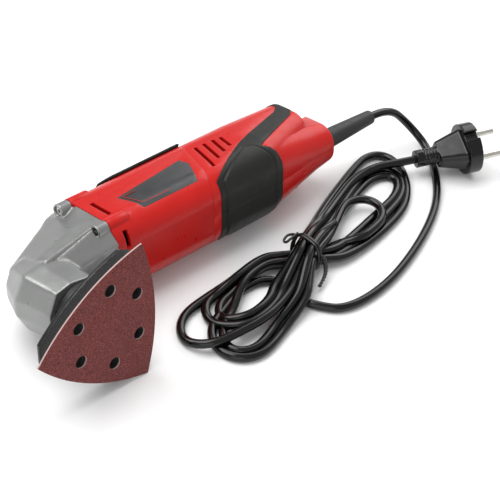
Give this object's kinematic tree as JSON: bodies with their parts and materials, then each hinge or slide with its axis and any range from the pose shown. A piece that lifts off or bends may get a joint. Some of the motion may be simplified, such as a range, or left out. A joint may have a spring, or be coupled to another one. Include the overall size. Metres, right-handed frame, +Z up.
{
  "type": "oscillating multi-tool with delta sanding plate",
  "caption": "Corded hand tool: oscillating spindle with a triangular sanding pad, cast gearbox head, moulded grip body, slide switch, speed wheel, coiled cord and plug.",
  "frame": {"origin": "on the table, under the middle of the tool's bounding box as it lies, cord left out", "axes": "+X from the sanding head to the cord end along the motor axis, +Z up from the table, so the sanding face looks towards -Y"},
  "size_m": [0.4333, 0.1585, 0.0915],
  "materials": {
    "cast_housing": "silver-grey lacquered die casting",
    "red_plastic": "bright red moulded shell, satin gloss",
    "soft_grip": "black overmoulded soft grip, matt",
    "black_plastic": "black moulded plastic",
    "label": "dark grey printed foil with a thin red line",
    "steel": "bright steel",
    "lamination": "stacked laminations",
    "copper": "enamelled copper",
    "carbon": "pressed carbon",
    "rubber_seal": "black rubber",
    "foam": "black closed-cell foam",
    "abrasive": "red-brown aluminium oxide grain on paper with a loop back",
    "cord_jacket": "black PVC",
    "tie_wire": "black plastic-covered wire",
    "pin_metal": "nickel-plated",
    "board": "circuit board",
    "heatsink": "bare aluminium"
  },
  "bodies": {
    "tool": {"gearbox_housing": "cast_housing", "gearbox_screws": "steel", "spindle_bearing_lower": "steel", "spindle_bearing_upper": "steel", "spindle_seal": "rubber_seal", "rotor_bearing_front": "steel", "rotor_bearing_rear": "steel", "bearing_plate": "cast_housing", "stator_core": "lamination", "field_coils": "copper", "brush_holders": "black_plastic", "carbon_brushes": "carbon", "brush_springs": "steel", "motor_housing": "red_plastic", "back_panel": "soft_grip", "name_plate": "label", "switch_module": "black_plastic", "handle_shell_label_side": "red_plastic", "handle_shell_screw_side": "red_plastic", "soft_grip_label_side": "soft_grip", "soft_grip_screw_side": "soft_grip", "handle_screws": "steel", "dial_bracket": "black_plastic", "speed_board": "board", "suppression_capacitor": "black_plastic", "triac_heatsink": "heatsink", "cord_sleeve": "rubber_seal", "cord_inner": "cord_jacket", "cord_clamp": "black_plastic", "cord_clamp_screws": "steel", "cord_lead": "cord_jacket", "cord_hank": "cord_jacket", "cord_tie": "tie_wire", "cord_plug_run": "cord_jacket", "plug_body": "cord_jacket", "plug_pins": "pin_metal"},
    "oscillator": {"spindle": "steel", "drive_fork": "steel", "tool_flange": "black_plastic", "sanding_plate": "black_plastic", "sanding_foam": "foam", "sanding_sheet": "abrasive", "clamp_washer": "steel", "clamp_screw": "steel"},
    "rotor": {"rotor_shaft": "steel", "eccentric_pin": "steel", "eccentric_bearing": "steel", "cooling_fan": "black_plastic", "armature_core": "lamination", "armature_windings": "copper", "commutator": "copper"},
    "switch_slide": {"slide_switch_button": "black_plastic", "switch_rod": "black_plastic"},
    "speed_wheel": {"speed_dial": "black_plastic"}
  },
  "joints": [
    {"name": "spindle_swing", "type": "hinge", "parent": "tool", "child": "oscillator", "pos_m": [-0.1249, 0.024, 0.0314], "axis": [0, 0.981, -0.1942], "range_deg": [-1.6, 1.6]},
    {"name": "rotor_spin", "type": "hinge", "parent": "tool", "child": "rotor", "pos_m": [-0.1249, 0.024, 0.0314], "axis": [1, 0, 0], "continuous": true},
    {"name": "switch_travel", "type": "slide", "parent": "tool", "child": "switch_slide", "axis": [-1, 0, 0], "range_m": [0, 0.007]},
    {"name": "speed_wheel_turn", "type": "hinge", "parent": "tool", "child": "speed_wheel", "pos_m": [0.1071, 0.04127, 0.02798], "axis": [0, 0.1942, 0.981], "range_deg": [0, 240]}
  ]
}
